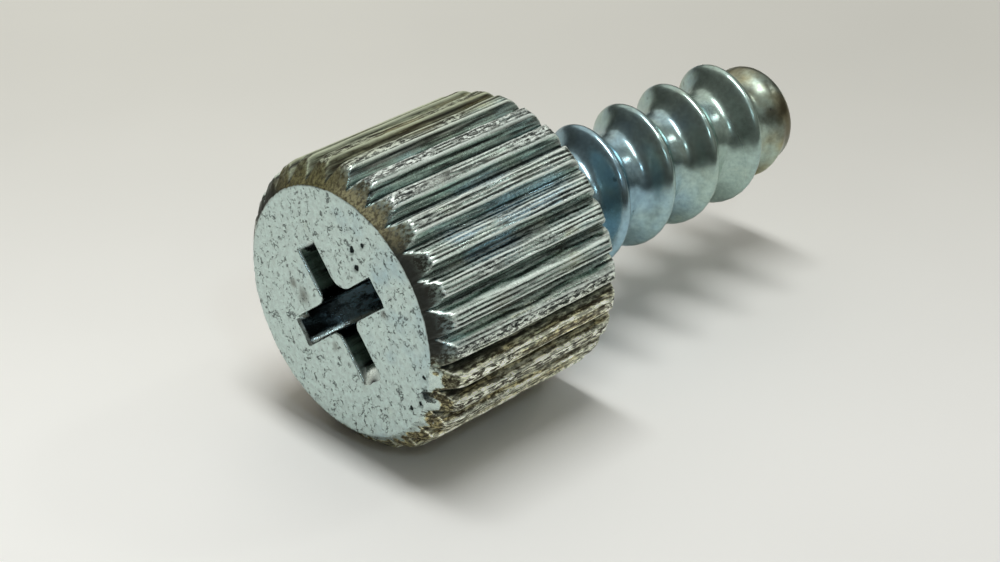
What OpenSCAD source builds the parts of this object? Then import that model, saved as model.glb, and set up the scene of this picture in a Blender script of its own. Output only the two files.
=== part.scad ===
// Thumb screw with a knurled head, a cross recess and a coarse thread.
// It lies on the side of its head: axis along X, face towards -X, middle at x = 0, floor at z = 0.

/* [Head] */
// Diameter over the ridges
head_d = 9.85; // [7:0.05:13]
// Length from the face to the seat
head_len = 7.65; // [5:0.05:11]
// Width of the sloped edge round the face, across the axis
face_bevel_w = 0.73; // [0.2:0.01:1.2]
// Length of the sloped edge round the face, along the axis
face_bevel_len = 0.62; // [0.2:0.02:1.2]
// Width of the sloped edge round the seat, across the axis
seat_bevel_w = 0.55; // [0.2:0.01:1]
// Length of the sloped edge round the seat, along the axis
seat_bevel_len = 0.5; // [0.2:0.02:1]

/* [Knurl] */
// Number of ridges round the head
ridge_count = 29; // [18:1:40]
// Depth of the grooves between the ridges
groove_depth = 0.48; // [0.1:0.01:0.7]
// Share of the ridge spacing taken by the top of a ridge
land_share = 0.4; // [0.2:0.02:0.6]
// Share of the ridge spacing taken by the floor of a groove
groove_floor_share = 0.06; // [0.02:0.02:0.2]

/* [Driver recess] */
// Span of the cross at the face, end to end
recess_span = 4.8; // [3.8:0.1:6]
// Width of a wing
wing_w = 1; // [0.8:0.05:1.4]
// Depth of the wings
recess_depth = 2.9; // [1.5:0.1:3.6]
// Slope of the wing ends from the axis, in degrees
wing_end_slope = 26.5; // [15:0.5:30]
// Radius of the corners between the wings
recess_corner_r = 0.4; // [0.2:0.05:0.7]
// Depth of the pointed floor below the wings
recess_point = 0.35; // [0.1:0.05:0.8]
// Share of the wing's width taken by the pointed floor
point_share = 0.9; // [0.4:0.05:0.95]
// How far the corners stop short of the wings' floor
corner_stop = 0.4; // [0.2:0.05:1]
// Turn of the cross about the axis, in degrees
recess_turn = 52; // [0:1:90]

/* [Thread] */
// Diameter over the thread
thread_d = 4.8; // [4:0.05:6]
// Depth of the thread from crest to root
thread_depth = 0.8; // [0.3:0.02:1]
// Distance from one crest to the next along the axis
crest_pitch = 2.23; // [1.4:0.01:3]
// Number of thread starts
start_count = 1; // [1:1:3]
// Hand of the thread: 1 right, -1 left
thread_hand = -1; // [-1, 1]
// Sharpness of the crests: higher is narrower
crest_power = 4.3; // [2:0.1:8]
// Distance from the seat to a crest, on the floor side
crest_start = 0.22; // [0:0.01:3]

/* [Shank] */
// Length of the shank from the seat to its end
shank_len = 12.35; // [9:0.05:20]
// Diameter of the plain shank by the seat and at the end
plain_d = 3.65; // [3:0.05:4.5]
// Radius of the rounded end
end_r = 0.42; // [0.1:0.02:0.8]
// Plain length by the seat, before the thread rises
neck_len = 0.5; // [0.2:0.05:1.5]
// Length over which the thread rises by the seat
rise_len = 1; // [0.3:0.05:2]
// Plain length at the end, after the thread has run out
end_plain_len = 0.45; // [0.2:0.05:2]
// Length over which the thread runs out at the end
runout_len = 1; // [0.3:0.05:2]
// How far the flare under the head stands out beyond the thread
flare_margin = 0.12; // [0.05:0.01:0.4]
// Length of the flare under the head
flare_len = 0.5; // [0.2:0.05:1]

/* [Fit] */
// Overrun of every cut and joint
cut_over = 0.2; // [0.05:0.05:0.5]

/* [Hidden] */
$fn = 96;
metal_color = [0.72, 0.74, 0.72];

full_turn = 360;
right_angle = full_turn / 4;
ridge_step = full_turn / ridge_count;
land_half_angle = ridge_step * land_share / 2;
floor_half_angle = ridge_step * groove_floor_share / 2;
head_r = head_d / 2;
groove_r = head_r - groove_depth;
flank_past_share = 0.15;
// the ridges either side of the lowest groove carry the head
axis_z = head_r * cos(ridge_step / 2 - land_half_angle);

wing_taper = tan(wing_end_slope);
wing_floor_half = recess_span / 2 - recess_depth * wing_taper;
// the corner cylinders bite into the wings by this share of their radius
corner_bite_share = 0.08;
corner_at = wing_w / 2 + recess_corner_r * (1 - corner_bite_share);
// the pointed floor starts this share of its depth above the wings' floor
point_past_share = 0.4;

crest_r = thread_d / 2;
root_r = crest_r - thread_depth;
plain_r = plain_d / 2;
lead = crest_pitch * start_count;
shank_root = head_len - cut_over;
shank_end = head_len + shank_len;
flare_r = crest_r + flare_margin;
// the flare's slope runs on into the shank
flare_foot_r = plain_r - cut_over;
flare_foot = head_len + flare_len * (flare_r - flare_foot_r) / (flare_r - plain_r);
// columns and rows of the shank's skin
column_count = 30;
column_step = full_turn / column_count;
rows_per_pitch = 15;
skin_len = shank_end - end_r - shank_root;
row_count = ceil(skin_len * rows_per_pitch / crest_pitch);
row_step = skin_len / row_count;
end_count = 5;
end_step = right_angle / end_count;

function polar(r, a) = [r * cos(a), r * sin(a)];
// the flank of a groove runs on past the land, so that the head's own cylinder trims it
function past_land(land, foot) = land + (land - foot) * flank_past_share;
function ridge(middle) =
    let (foot_a = ridge_step / 2 - floor_half_angle)
    let (land_1 = polar(head_r, middle - land_half_angle))
    let (land_2 = polar(head_r, middle + land_half_angle))
    let (foot_1 = polar(groove_r, middle - foot_a))
    let (foot_2 = polar(groove_r, middle + foot_a))
    [foot_1, past_land(land_1, foot_1), past_land(land_2, foot_2), foot_2];

function ease(t) = let (c = min(max(t, 0), 1)) c * c * (3 - 2 * c);
// 1 on a crest and 0 halfway between two crests
function crest(z, a) =
    let (turns = (z - head_len - crest_start - thread_hand * lead * a / full_turn) / crest_pitch)
    pow(abs(cos(turns * full_turn / 2)), crest_power);
// 0 where the shank is plain and 1 where the thread is whole
function engaged(z) =
    let (rise = (z - head_len - neck_len) / rise_len)
    let (left = (shank_end - end_plain_len - z) / runout_len)
    ease(rise) * ease(left);
function skin_r(z, a) =
    let (e = engaged(z))
    plain_r * (1 - e) + (root_r + thread_depth * crest(z, a)) * e;

// each row of the skin: height, and how far the rounded end has drawn it in
skin_rows = [
    for (j = [0 : row_count]) [shank_root + j * row_step, 0],
    for (k = [1 : end_count])
        [shank_end - end_r * (1 - sin(k * end_step)), end_r * (1 - cos(k * end_step))]
];

module head_blank() {
    rotate_extrude()
        polygon([
            [0, 0],
            [head_r - face_bevel_w, 0],
            [head_r, face_bevel_len],
            [head_r, head_len - seat_bevel_len],
            [head_r - seat_bevel_w, head_len],
            [flare_r, head_len],
            [flare_foot_r, flare_foot],
            [0, flare_foot]
        ]);
}

module knurl() {
    translate([0, 0, -cut_over])
        linear_extrude(flare_foot + 2 * cut_over)
            polygon([for (i = [1 : ridge_count]) each ridge((i - 1 / 2) * ridge_step)]);
}

// one wing pair, from above the face down to its floor
module wing_pair() {
    top_half = recess_span / 2 + cut_over * wing_taper;
    rotate([right_angle, 0, 0])
        linear_extrude(wing_w, center = true)
            polygon([
                [-top_half, -cut_over],
                [top_half, -cut_over],
                [wing_floor_half, recess_depth],
                [-wing_floor_half, recess_depth]
            ]);
}

// the rounded corners between the wings
module corner_web() {
    web_depth = recess_depth - corner_stop;
    difference() {
        translate([-corner_at, -corner_at, -2 * cut_over])
            cube([2 * corner_at, 2 * corner_at, web_depth + 2 * cut_over]);
        for (x = [-corner_at, corner_at])
            for (y = [-corner_at, corner_at])
                translate([x, y, -3 * cut_over])
                    cylinder(h = web_depth + 4 * cut_over, r = recess_corner_r);
    }
}

module point_floor() {
    point_r = wing_w * point_share / 2;
    reach = recess_point * point_past_share;
    translate([0, 0, recess_depth - reach])
        cylinder(h = recess_point + reach, r1 = point_r * (1 + point_past_share), r2 = 0);
}

module recess() {
    rotate([0, 0, recess_turn]) {
        wing_pair();
        rotate([0, 0, right_angle])
            wing_pair();
        corner_web();
        point_floor();
    }
}

module shank() {
    rows = len(skin_rows);
    skin = [
        for (row = skin_rows)
            for (i = [0 : column_count - 1])
                let (a = i * column_step)
                let (p = polar(skin_r(row[0], a) - row[1], a))
                [p[0], p[1], row[0]]
    ];
    caps = [[0, 0, shank_root], [0, 0, shank_end]];
    sides = [
        for (j = [0 : rows - 2])
            for (i = [0 : column_count - 1])
                let (k = (i + 1) % column_count)
                let (a = j * column_count + i)
                let (b = j * column_count + k)
                let (c = a + column_count)
                let (d = b + column_count)
                each thread_hand < 0 ? [[a, c, b], [b, c, d]] : [[a, d, b], [a, c, d]]
    ];
    ends = [
        for (i = [0 : column_count - 1])
            let (k = (i + 1) % column_count)
            let (last = (rows - 1) * column_count)
            each [[rows * column_count, i, k], [rows * column_count + 1, last + k, last + i]]
    ];
    polyhedron(points = concat(skin, caps), faces = concat(sides, ends), convexity = 10);
}

module thumb_screw() {
    color(metal_color)
        translate([-shank_end / 2, 0, axis_z])
            rotate([0, right_angle, 0])
                union() {
                    difference() {
                        intersection() {
                            head_blank();
                            knurl();
                        }
                        recess();
                    }
                    shank();
                }
}

thumb_screw();
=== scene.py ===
"""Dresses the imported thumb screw: a close mesh of the screw with its zinc finish, and the stage it lies on."""

import math

import bpy
import numpy as np
from bpy.props import FloatProperty, FloatVectorProperty, IntProperty, PointerProperty
from mathutils import Euler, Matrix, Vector


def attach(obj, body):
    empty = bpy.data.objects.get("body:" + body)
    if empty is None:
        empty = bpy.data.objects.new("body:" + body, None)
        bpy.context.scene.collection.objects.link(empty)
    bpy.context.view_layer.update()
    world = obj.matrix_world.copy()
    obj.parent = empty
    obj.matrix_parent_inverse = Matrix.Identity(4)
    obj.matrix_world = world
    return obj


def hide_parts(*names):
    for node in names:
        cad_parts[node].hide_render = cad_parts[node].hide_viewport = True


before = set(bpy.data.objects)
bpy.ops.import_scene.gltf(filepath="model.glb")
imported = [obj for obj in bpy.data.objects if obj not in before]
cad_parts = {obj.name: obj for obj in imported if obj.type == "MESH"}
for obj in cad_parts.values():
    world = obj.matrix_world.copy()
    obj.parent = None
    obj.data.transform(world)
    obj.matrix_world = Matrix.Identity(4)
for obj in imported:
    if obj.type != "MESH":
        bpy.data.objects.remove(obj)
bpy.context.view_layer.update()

bl_info = {
    "name": "Thumb Screw",
    "version": (1, 0, 0),
    "blender": (4, 5, 0),
    "location": "View3D > Sidebar > Thumb Screw",
    "description": "Builds a zinc-plated thumb screw with a knurled head, and a stage for it",
    "category": "Add Mesh",
}

MM = 0.001
TURN = 2 * math.pi

# columns round the axis: the knurl has a whole number for each ridge
RIDGE_COLUMNS = 36
RECESS_SPLIT = 3
SHANK_SPLIT = 6

FACE, KNURL, RECESS, SHANK = range(4)
MARKS = ("cavity", "worn", "stain", "rough", "tint", "line")


def size(label, words, millimetres):
    """A length that a user can change."""
    return FloatProperty(name=label, description=words, default=millimetres * MM, unit="LENGTH", precision=5)


def share(label, words, value):
    """A share from 0 to 1 that a user can change."""
    return FloatProperty(name=label, description=words, default=value, min=0, max=1, subtype="FACTOR")


def angle(label, words, degrees):
    """An angle that a user can change."""
    return FloatProperty(name=label, description=words, default=math.radians(degrees), subtype="ANGLE")


def tone(label, words, red, green, blue):
    """A colour that a user can change."""
    return FloatVectorProperty(
        name=label, description=words, default=(red, green, blue), min=0, max=1, size=3, subtype="COLOR"
    )


def lamp_power(label, words, watts):
    """A lamp's power that a user can change."""
    return FloatProperty(name=label, description=words, default=watts, min=0, unit="POWER")


class ScrewSizes(bpy.types.PropertyGroup):
    """Sizes of the screw, the same as those of the solid it stands for"""

    head_d: size("Head diameter", "Diameter over the ridges", 9.85)
    head_len: size("Head length", "Length from the face to the seat", 7.65)
    face_bevel_w: size("Face bevel width", "Width of the sloped edge round the face", 0.73)
    face_bevel_len: size("Face bevel length", "Length of the sloped edge round the face", 0.62)
    seat_bevel_w: size("Seat bevel width", "Width of the sloped edge round the seat", 0.55)
    seat_bevel_len: size("Seat bevel length", "Length of the sloped edge round the seat", 0.5)
    ridge_count: IntProperty(name="Ridges", description="Number of ridges round the head", default=29, min=18, max=40)
    groove_depth: size("Groove depth", "Depth of the grooves between the ridges", 0.48)
    land_share: share("Land share", "Share of the ridge spacing taken by the top of a ridge", 0.4)
    floor_share: share("Groove floor share", "Share of the ridge spacing taken by the floor of a groove", 0.06)
    recess_span: size("Recess span", "Span of the cross at the face", 4.8)
    wing_w: size("Wing width", "Width of a wing of the cross", 1.0)
    recess_depth: size("Recess depth", "Depth of the wings", 2.9)
    recess_point: size("Recess point", "Depth of the pointed floor below the wings", 0.35)
    wing_slope: angle("Wing slope", "Slope of the wing ends from the axis", 26.5)
    recess_turn: angle("Recess turn", "Turn of the cross about the axis", 52)
    thread_d: size("Thread diameter", "Diameter over the thread", 4.8)
    thread_depth: size("Thread depth", "Depth of the thread from crest to root", 0.8)
    crest_pitch: size("Pitch", "Distance from one crest to the next", 2.23)
    crest_start: size("Thread start", "Distance from the seat to a crest, on the floor side", 0.22)
    crest_power: FloatProperty(name="Crest power", description="Sharpness of the crests", default=4.3, min=2, max=8)
    shank_len: size("Shank length", "Length from the seat to the end", 12.35)
    plain_d: size("Plain diameter", "Diameter of the shank where it has no thread", 3.65)
    end_r: size("End radius", "Radius of the rounded end", 0.42)
    neck_len: size("Neck", "Plain length by the seat", 0.5)
    rise_len: size("Rise", "Length over which the thread rises by the seat", 1.0)
    end_plain_len: size("Plain end", "Plain length at the end", 0.45)
    runout_len: size("Run-out", "Length over which the thread runs out", 1.0)
    flare_margin: size("Flare margin", "How far the flare under the head stands out beyond the thread", 0.12)
    flare_len: size("Flare length", "Length of the flare under the head", 0.5)


class ScrewFinish(bpy.types.PropertyGroup):
    """Colours of the worn zinc, with painted shade, highlights and sheen among them, and how rough the rolling left
    the knurl
    """

    pale: tone("Pale zinc", "Clean plate on the face", 0.57, 0.69, 0.66)
    grey: tone("Grey zinc", "Plate on the ridges", 0.30, 0.385, 0.345)
    thread: tone("Thread zinc", "Plate on the thread", 0.41, 0.54, 0.49)
    blue: tone("Blue zinc", "Blue film on the plate near the head", 0.30, 0.46, 0.55)
    olive: tone("Olive zinc", "Yellowed plate", 0.36, 0.34, 0.20)
    # bright stands for polished plate and for painted highlights: the lines and edges on the ridges, the specks and
    # the glint in the recess
    bright: tone("Bright zinc", "Polished edges and lines", 0.87, 0.96, 0.90)
    brown: tone("Tarnish", "Brown tarnish in the grooves and round the face", 0.07, 0.052, 0.03)
    # shaded is painted shade: the plate's colour on the sides of the ridges that face down
    shaded: tone("Shaded zinc", "Plate on the sides of the ridges that face down", 0.05, 0.09, 0.087)
    # green: a green film, drawn lighter than the dark inside the recess as painted light on the walls that face the
    # light
    green: tone("Recess film", "Dark green film inside the recess", 0.12, 0.19, 0.15)
    # sheen is a painted reflection: a lamp's blue sheen drawn into the colour of one wing's end
    sheen: tone("Recess sheen", "Blue sheen inside the recess", 0.46, 0.70, 0.82)
    # dark is the bottom of real pits and the black tarnish of the sloped edge, and also painted shade: inside the
    # recess, in the black lines along the ridges and in the specks
    dark: tone("Pits", "Bottom of pits and of the recess", 0.02, 0.028, 0.028)
    streak_depth: size("Streak depth", "Depth of the rolled streaks along the ridges", 0.03)
    pit_depth: size("Pit depth", "Depth of the rough patches on the ridges", 0.03)


class ScrewStage(bpy.types.PropertyGroup):
    """The paper and the lamps"""

    paper: tone("Paper", "Colour of the paper under the screw", 0.86, 0.86, 0.845)
    # painted falloff of the light: the paper is drawn darker far behind the screw
    far_paper_shade: tone("Far paper", "Colour of the paper far behind the screw", 0.62, 0.615, 0.575)
    main_power: lamp_power("Main", "Power of the long lamp overhead", 0.58)
    key_power: lamp_power("Key", "Power of the small lamp beyond the tip", 0.055)
    cool_power: lamp_power("Cool", "Power of the cool lamp above the camera", 0.07)
    soft_power: lamp_power("Soft", "Power of the wide lamp behind the head", 0.19)
    room_strength: FloatProperty(name="Room", description="Strength of the light from the room", default=0.68, min=0)


def ease(t):
    """From 0 to 1 with a soft start and end."""
    c = np.clip(t, 0, 1)
    return c * c * (3 - 2 * c)


def soft_min(a, b, blend):
    """The smaller of two, rounded where they cross."""
    h = np.clip(0.5 + 0.5 * (b - a) / blend, 0, 1)
    return b + (a - b) * h - blend * h * (1 - h)


def between(value, low, high, rise, fall):
    """1 between two values, rising and falling softly inside them."""
    return ease((value - low) / rise) * ease((high - value) / fall)


def thin_line(value, at, half):
    """1 where a value is reached, falling to 0 on both sides."""
    return np.clip(1 - np.abs(value - at) / half, 0, 1)


def soft_noise(rng, turns, along, cells_round, cells_along):
    """Smooth noise from -1 to 1; turns wraps at 1, along runs from 0 to 1."""
    grid = rng.uniform(-1, 1, (cells_round, cells_along + 2))
    x, y = np.broadcast_arrays((turns % 1) * cells_round, np.clip(along, 0, 1) * cells_along)
    i, j = np.floor(x).astype(int), np.floor(y).astype(int)
    fx, fy = ease(x - i), ease(y - j)
    i, k = i % cells_round, (i + 1) % cells_round
    near = grid[i, j] * (1 - fx) + grid[k, j] * fx
    far = grid[i, j + 1] * (1 - fx) + grid[k, j + 1] * fx
    return near * (1 - fy) + far * fy


class Sizes:
    """The screw's sizes in millimetres, and what follows from them."""

    def __init__(self, props):
        for name, prop in props.bl_rna.properties.items():
            if prop.type == "FLOAT" and prop.unit == "LENGTH":
                setattr(self, name, getattr(props, name) / MM)
        for name in ("ridge_count", "land_share", "floor_share", "crest_power", "wing_slope", "recess_turn"):
            setattr(self, name, getattr(props, name))
        self.head_r = self.head_d / 2
        self.groove_r = self.head_r - self.groove_depth
        self.face_r = self.head_r - self.face_bevel_w
        self.seat_r = self.head_r - self.seat_bevel_w
        self.ridge_step = TURN / self.ridge_count
        self.axis_z = self.head_r * math.cos(self.ridge_step * (1 - self.land_share) / 2)
        self.crest_r = self.thread_d / 2
        self.root_r = self.crest_r - self.thread_depth
        self.plain_r = self.plain_d / 2
        self.flare_r = self.crest_r + self.flare_margin
        self.total = self.head_len + self.shank_len
        self.fine = RIDGE_COLUMNS * self.ridge_count
        self.mid = self.fine // RECESS_SPLIT
        self.coarse = self.fine // SHANK_SPLIT


class Skin:
    """Rings of points from the floor of the recess, over the face and the head, to the end of the shank."""

    def __init__(self):
        self.rings, self.zones, self.marks = [], [], []

    def add(self, x, y, z, zone, **marks):
        """Adds one ring; zone is the finish of the strip that leads to it."""
        x, y, z = np.broadcast_arrays(x, y, z)
        self.rings.append(np.stack([x, y, z], axis=1).astype(float))
        self.zones.append(zone)
        columns = [np.broadcast_to(np.asarray(marks.get(name, 0), float), x.shape) for name in MARKS]
        self.marks.append(np.stack(columns, axis=1))

    def add_round(self, r, phi, z, zone, **marks):
        """Adds one ring given by radius and angle."""
        self.add(r * np.cos(phi), r * np.sin(phi), z, zone, **marks)

    def faces(self):
        """Quads and triangles between the rings, with a fan at each end, and the zone of each."""
        made, zones = [], []
        start = np.cumsum([0] + [len(r) for r in self.rings])
        for k in range(len(self.rings) - 1):
            strip = ring_strip(start[k], len(self.rings[k]), start[k + 1], len(self.rings[k + 1]))
            made += strip
            zones += [self.zones[k + 1]] * len(strip)
        first, last = len(self.rings[0]), len(self.rings[-1])
        floor, tip = start[-1], start[-1] + 1
        made += [(floor, (j + 1) % first, j) for j in range(first)]
        zones += [self.zones[0]] * first
        made += [(start[-2] + j, start[-2] + (j + 1) % last, tip) for j in range(last)]
        zones += [self.zones[-1]] * last
        return made, zones


def ring_strip(a, count_a, b, count_b):
    """Faces between two rings whose counts are equal, or one a whole number of times the other."""
    if count_a == count_b:
        n = count_a
        return [(a + j, a + (j + 1) % n, b + (j + 1) % n, b + j) for j in range(n)]
    made = []
    if count_a < count_b:
        q = count_b // count_a
        for m in range(count_a):
            here, there = a + m, a + (m + 1) % count_a
            fine = [b + (m * q + s) % count_b for s in range(q + 1)]
            for s in range(q):
                made.append((here if s < q // 2 else there, fine[s + 1], fine[s]))
            made.append((here, there, fine[q // 2]))
        return made
    q = count_a // count_b
    for m in range(count_b):
        here, there = b + m, b + (m + 1) % count_b
        fine = [a + (m * q + s) % count_a for s in range(q + 1)]
        for s in range(q):
            made.append((fine[s], fine[s + 1], here if s < q // 2 else there))
        made.append((fine[q // 2], there, here))
    return made


# radii of the four corners between the wings, as the driver has worn them
CORNER_RADII = (0.26, 0.62, 0.3, 0.3)
WING_TIP_R = 0.07
END_POINTS, TIP_POINTS, SIDE_POINTS = 5, 4, 23


def line(start, stop, count):
    """Points from start towards stop, without stop."""
    t = np.arange(count)[:, None] / count
    return (1 - t) * np.array(start, float) + t * np.array(stop, float)


def arc(centre, radius, start, stop, count):
    """Points of an arc, without its last one; angles in degrees."""
    a = np.radians(start + (stop - start) * np.arange(count) / count)
    return np.stack([centre[0] + radius * np.cos(a), centre[1] + radius * np.sin(a)], axis=1)


def cross_outline(s, depth, grow):
    """One ring round the driver recess at a depth, grown outwards for its lip."""
    half = s.recess_span / 2 - depth * math.tan(s.wing_slope) + grow
    side = s.wing_w / 2 + grow
    tip = WING_TIP_R
    corner_points = s.mid // 4 - 2 * (END_POINTS + TIP_POINTS + SIDE_POINTS)
    made = []
    for k, worn in enumerate(CORNER_RADII):
        r = min(worn - grow, 0.8 * (half - side))
        quarter = np.concatenate([
            line((half, 0), (half, side - tip), END_POINTS),
            arc((half - tip, side - tip), tip, 0, 90, TIP_POINTS),
            line((half - tip, side), (side + r, side), SIDE_POINTS),
            arc((side + r, side + r), r, -90, -180, corner_points),
            line((side, side + r), (side, half - tip), SIDE_POINTS),
            arc((side - tip, half - tip), tip, 0, 90, TIP_POINTS),
            line((side - tip, half), (0, half), END_POINTS),
        ])
        a = s.recess_turn + k * TURN / 4
        c, d = math.cos(a), math.sin(a)
        made.append(quarter @ np.array([[c, d], [-d, c]]))
    ring = np.concatenate(made)
    return np.roll(ring, round(s.recess_turn / TURN * s.mid), axis=0)


# dents in the face and its edge: angle in degrees, distance from the axis, radius and depth
DENTS = (
    (197, 2.63, 0.13, 0.10),
    (204, 3.12, 0.10, 0.09),
    (206, 2.18, 0.12, 0.08),
    (289, 4.12, 0.17, 0.28),
    (296, 4.05, 0.10, 0.10),
    (281, 3.95, 0.10, 0.06),
    (303, 3.85, 0.10, 0.05),
)
# brown stains on the face: angle in degrees, distance from the axis, radius
STAINS = ((87, 1.75, 0.45), (95, 2.2, 0.3), (12, 1.35, 0.3), (250, 2.3, 0.25))
# the stretch of the face's edge that has flaked: its middle and half length in degrees
FLAKED = (287, 30)
# the stretch of the sloped edge that has tarnished: from and to, in degrees
TARNISHED = (95, 277)
# the stretches of the ridges that are dull and brown, low and on top: from and to, in degrees
DULL_RIDGES = (264, 345)
DULL_TOP = (125, 184)
# the hole in the face's edge: angle and half width in degrees, depth
RIM_HOLE = (289, 2.4, 0.16)


def away_from(x, y, degrees, r):
    """Distance of points from a spot that is given by its angle and its distance from the axis."""
    a = math.radians(degrees)
    return np.hypot(x - r * math.cos(a), y - r * math.sin(a))


def face_marks(x, y):
    """Depth of the dents, how dark they are, and how much stain there is, at points of the face."""
    depth, dent_dark, stain = np.zeros_like(x), np.zeros_like(x), np.zeros_like(x)
    for a, r, radius, deep in DENTS:
        dent = np.exp(-((away_from(x, y, a, r) / radius) ** 6))
        depth += deep * dent
        dent_dark = np.maximum(dent_dark, dent)
    for a, r, radius in STAINS:
        stain = np.maximum(stain, np.exp(-((away_from(x, y, a, r) / radius) ** 2)))
    return depth, dent_dark, stain


# the wing of the recess with a painted white glint at its end, and the one with a painted blue sheen down its end
GLINT_WING, SHEEN_WING = 322, 52
# ledges that the driver has pushed up at the ends of two wings: angle in degrees, length, depth
LEDGES = ((GLINT_WING, 0.5, 0.18), (142, 0.3, 0.3))
# how far from the axis a wing's walls start to draw in to its ledge, and the least length they draw in
LEDGE_FROM, LEDGE_LEAST = 1.3, 0.1


def toward(x, y, degrees, spread):
    """1 where a point lies towards an angle from the axis, falling off over a spread in degrees."""
    away = (np.degrees(np.arctan2(y, x)) - degrees + 180) % 360 - 180
    return np.exp(-((away / spread) ** 2))


def with_ledges(s, ring, depth):
    """A ring of the recess drawn in where a wing's end has a ledge."""
    half = s.recess_span / 2 - depth * math.tan(s.wing_slope)
    for degrees, length, deep in LEDGES:
        way = np.array([math.cos(math.radians(degrees)), math.sin(math.radians(degrees))])
        limit = min(half, s.recess_span / 2 - length * min(depth / deep, 1))
        drawn = np.clip(ring @ way - LEDGE_FROM, 0, None) * (half - limit) / max(half - LEDGE_FROM, LEDGE_LEAST)
        ring = ring - drawn[:, None] * way
    return ring


def wall_marks(s, x, y, deep):
    """How much painted sheen, painted light and painted highlight the walls of the recess get at a share of its
    depth.

    The end of one wing gets a painted blue sheen with a painted white line beside it, the wings across it have a
    green film on one side, drawn lighter as painted light, and one corner gets a painted highlight.
    """
    a = math.radians(SHEEN_WING)
    out = x * math.cos(a) + y * math.sin(a)
    across = -x * math.sin(a) + y * math.cos(a)
    half = s.wing_w / 2
    end = (out > 1.5 * half) * (np.abs(across) < 1.05 * half)
    # painted sheen: the deep end of one wing is marked to be drawn light blue, as a lamp's reflection
    blue = end * ease((deep - 0.25) / 0.4)
    # green marks one side of the two wings across: a green film, drawn lighter as painted light on the walls that
    # face the light
    beside = ease((np.abs(across) - 1.3 * half) / half)
    green = ease((out - 0.5 * half) / (0.4 * half)) * beside * (deep < 0.6)
    # white and corner are painted highlights: a bright line beside the sheen and a bright bit at a wing's corner
    white = end * thin_line(across, -0.9 * half, 0.25 * half) * between(deep, 0.03, 0.95, 0.05, 0.3)
    corner = (out > 3.8 * half) * thin_line(across, half, 0.3 * half) * (deep < 0.1)
    return blue, green, np.maximum(white, corner)


RECESS_DEPTH_SHARES = (1, 0.93, 0.84, 0.74, 0.63, 0.52, 0.41, 0.31, 0.22, 0.14, 0.08, 0.04)
FLOOR_SHARES = (0.12, 0.3, 0.5, 0.7, 0.86, 0.96)
# radius of the recess's lip, and the angles of its rings
LIP, LIP_ANGLES = 0.045, (60, 30, 0)
# how ragged the edges of the recess are, as a share of the distance from the axis
RAGGED_EDGE = 0.01
FACE_RINGS = 30
# how far inside the face's edge its last ring lies, and how far the face is sunk
FACE_EDGE, FACE_SUNK = 0.06, 0.012


def recess_and_face(s, skin, rng):
    """The driver recess from its pointed floor up to its lip, then the face out to its edge."""
    turns = np.arange(s.mid) / s.mid
    floor = cross_outline(s, s.recess_depth, 0)
    point_r = 0.45 * s.wing_w
    # the floor and walls of the recess are marked to be painted dark, as shade
    for k in FLOOR_SHARES:
        x, y = (floor * k).T
        z = s.recess_depth + s.recess_point * np.clip(1 - np.hypot(x, y) / point_r, 0, 1)
        skin.add(x, y, z, RECESS, cavity=1, stain=wall_marks(s, x, y, 1)[0])
    rag = soft_noise(rng, turns, 0, 70, 1) + soft_noise(rng, turns, 0, 150, 1)
    for k in RECESS_DEPTH_SHARES:
        ring = with_ledges(s, cross_outline(s, s.recess_depth * k, 0), s.recess_depth * k)
        ring = ring * (1 + RAGGED_EDGE * rag * (1 - k))[:, None]
        x, y = ring.T
        # painted glint: white drawn at the shallow end of one wing, with the painted highlight lines beside it
        glint = toward(x, y, GLINT_WING, 10) * (np.hypot(x, y) > 1.7) * (k < 0.1)
        blue, green, white = wall_marks(s, x, y, k)
        glint = np.maximum(glint, white)
        skin.add(x, y, s.recess_depth * k, RECESS, cavity=1, worn=glint, stain=blue, rough=green)
    for a in LIP_ANGLES:
        drop = LIP * (1 - math.cos(math.radians(a)))
        grow = LIP * (1 - math.sin(math.radians(a)))
        ring = cross_outline(s, drop, grow) * (1 + RAGGED_EDGE * rag)[:, None]
        x, y = ring.T
        if a:
            # painted shade: a dark frame at the lip round the painted glint
            gap = toward(x, y, GLINT_WING, 11) * (np.hypot(x, y) > 2.1)
            skin.add(x, y, drop, RECESS, cavity=gap, worn=1 - gap)
        else:
            skin.add(x, y, drop, FACE, worn=0.5)
    lip = ring
    edge = s.face_r - FACE_EDGE
    rim = np.stack([edge * np.cos(TURN * turns), edge * np.sin(TURN * turns)], axis=1)
    for k in range(1, FACE_RINGS + 1):
        t = k / FACE_RINGS
        x, y = ((1 - t) * lip + t * rim).T
        depth, dent_dark, stain = face_marks(x, y)
        sunk = FACE_SUNK * (1 + soft_noise(rng, turns, t, 24, 3)) * ease(t * 4)
        dense = 0.3 + 0.05 * toward(x, y, 262, 75)
        skin.add(x, y, depth + sunk, FACE, cavity=dent_dark, stain=stain, rough=dense)


# ridges whose plate is torn and pitted, counted up from the floor, and how much
ROUGH_RIDGES = {14: 0.35, 15: 0.8, 16: 0.7, 18: 0.1, 19: 0.1, 21: 1.1, 22: 0.45, 23: 0.9, 24: 0.6}
# ridges whose rising side, which faces up, is drawn bright as painted light, and how much
BRIGHT_RIDGES = {15: 1.0, 16: 0.8, 17: 0.6}
# ridges whose top is drawn bright near the face as a painted highlight, and how much
BRIGHT_FRONTS = {13: 0.5, 14: 0.8, 15: 0.9, 16: 0.7}
# blue tints on the ridges: angle in degrees, distance from the face, spread in degrees, length
TINTS = ((188, 2.9, 4, 0.9), (226, 5.0, 6, 1.6), (226, 2.3, 4, 0.9), (212, 4.2, 3, 1.2), (236, 3.0, 4, 1.2))
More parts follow.
